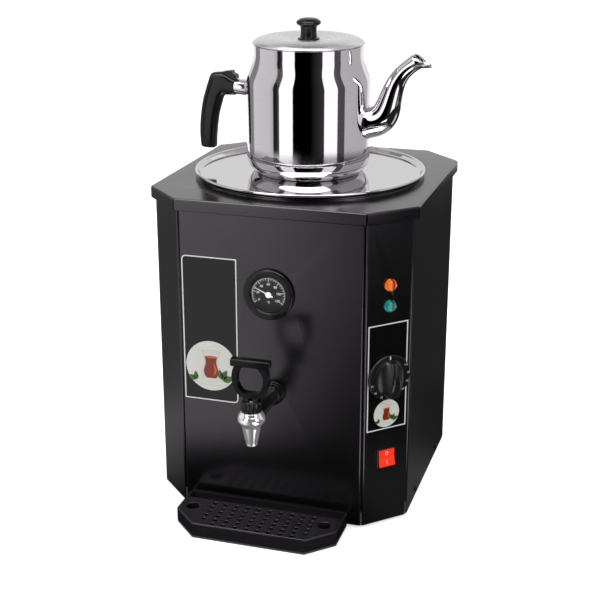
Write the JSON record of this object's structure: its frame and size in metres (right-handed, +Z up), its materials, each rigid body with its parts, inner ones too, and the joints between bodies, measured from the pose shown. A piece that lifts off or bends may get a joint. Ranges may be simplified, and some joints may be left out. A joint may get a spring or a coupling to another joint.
{
  "type": "hot water urn",
  "caption": "Black octagonal countertop water boiler with a lever tap, drip tray, thermometer, thermostat and lamps, and a steel teapot standing on its lid.",
  "frame": {"origin": "centre of the casing's footprint on the worktop", "axes": "+Z up, -Y out of the front panel with the tap, +X to the right seen from the front"},
  "size_m": [0.31, 0.415, 0.5515],
  "materials": {
    "black_powder_coat": "satin",
    "zinc_sheet": "satin",
    "stainless": "satin",
    "polished_steel": "polished",
    "tap_chrome": "polished",
    "steel_fasteners": "satin",
    "black_plastic": "satin",
    "black_bakelite": "gloss",
    "knob_plastic": "satin",
    "black_label": "gloss",
    "rocker_red": "gloss",
    "lens_orange": "gloss",
    "lens_green": "gloss",
    "dial_grey": "matte",
    "needle_white": "satin",
    "window_glass": "gloss",
    "black_rubber": "matte",
    "silicone_red": "matte",
    "mineral_wool": "matte",
    "element_sheath": "satin",
    "brass_nut": "satin",
    "copper_bulb": "satin",
    "cream_ceramic": "matte"
  },
  "bodies": {
    "urn": {"front_panel": "black_powder_coat", "control_panel": "black_powder_coat", "casing_wrap": "black_powder_coat", "top_cover": "black_powder_coat", "base_plate": "zinc_sheet", "rubber_feet": "black_rubber", "foot_screws": "steel_fasteners", "casing_screws": "black_powder_coat", "tank": "stainless", "tank_gasket": "silicone_red", "insulation_jacket": "mineral_wool", "heating_element": "element_sheath", "element_nuts": "brass_nut", "element_gaskets": "silicone_red", "safety_cutout": "cream_ceramic", "thermostat_body": "cream_ceramic", "thermostat_bulb": "copper_bulb", "lamp_lens_orange": "lens_orange", "lamp_lens_green": "lens_green", "lamp_holders": "black_plastic", "switch_frame": "black_plastic", "terminal_block": "cream_ceramic", "earth_stud": "brass_nut", "cable_gland": "black_plastic", "gland_nut": "black_plastic", "thermometer_case": "black_plastic", "thermometer_dial": "dial_grey", "thermometer_glass": "window_glass", "thermometer_probe": "brass_nut", "thermometer_clamp": "zinc_sheet", "front_decal": "black_label", "control_decal": "black_label", "tap_barrel": "black_plastic", "tap_gasket": "black_rubber", "tap_locknut": "brass_nut", "tap_spout": "tap_chrome", "tap_collar": "black_plastic", "tap_spring": "steel_fasteners", "tap_pin": "steel_fasteners"},
    "thermostat_dial": {"thermostat_knob": "knob_plastic", "thermostat_shaft": "steel_fasteners"},
    "rocker": {"switch_rocker": "rocker_red"},
    "needle": {"thermometer_needle": "needle_white"},
    "lever": {"tap_lever": "black_plastic"},
    "plug": {"tap_stem": "steel_fasteners", "tap_seal": "silicone_red"},
    "tray": {"drip_tray": "black_plastic"},
    "grid": {"drip_grid": "black_plastic"},
    "dish_lid": {"tank_lid": "polished_steel"},
    "teapot": {"teapot_body": "polished_steel", "teapot_base": "polished_steel", "teapot_spout": "polished_steel", "handle_ferrule": "polished_steel", "teapot_handle": "black_bakelite", "handle_screw": "steel_fasteners"},
    "pot_lid": {"teapot_lid": "polished_steel", "lid_knob": "black_bakelite", "knob_screw": "steel_fasteners"}
  },
  "joints": [
    {"name": "knob_turn", "type": "hinge", "parent": "urn", "child": "thermostat_dial", "pos_m": [0.12921, -0.13079, 0.1815], "axis": [-0.7071, 0.7071, 0], "range_deg": [0, 270]},
    {"name": "rocker_press", "type": "hinge", "parent": "urn", "child": "rocker", "pos_m": [0.12815, -0.12973, 0.0825], "axis": [0.7071, 0.7071, 0], "range_deg": [0, 16]},
    {"name": "needle_swing", "type": "hinge", "parent": "urn", "child": "needle", "pos_m": [-0.001, -0.153, 0.272], "axis": [0, 1, 0], "range_deg": [-55, 185]},
    {"name": "lever_pull", "type": "hinge", "parent": "urn", "child": "lever", "pos_m": [0.003, -0.228, 0.1755], "axis": [1, 0, 0], "range_deg": [0, 30], "stiffness_Nm_per_rad": 0.3, "springref_deg": -17.19},
    {"name": "plug_lift", "type": "slide", "parent": "urn", "child": "plug", "axis": [0, 0, 1], "range_m": [0, 0.0012], "deforming": ["tap_spring"]},
    {"name": "tray_slide", "type": "slide", "parent": "urn", "child": "tray", "axis": [0, -1, 0], "range_m": [0, 0.12]},
    {"name": "grid_lift", "type": "slide", "parent": "tray", "child": "grid", "axis": [0, 0, 1], "range_m": [0, 0.06]},
    {"name": "dish_lift", "type": "slide", "parent": "urn", "child": "dish_lid", "axis": [0, 0, 1], "range_m": [0, 0.2]},
    {"name": "teapot_lift", "type": "slide", "parent": "dish_lid", "child": "teapot", "axis": [0, 0, 1], "range_m": [0, 0.2]},
    {"name": "pot_lid_lift", "type": "slide", "parent": "teapot", "child": "pot_lid", "axis": [0, 0, 1], "range_m": [0, 0.15]}
  ],
  "couplings": [
    {"joint": "plug_lift", "follows": "lever_pull", "m_per_rad": 0.00229}
  ]
}
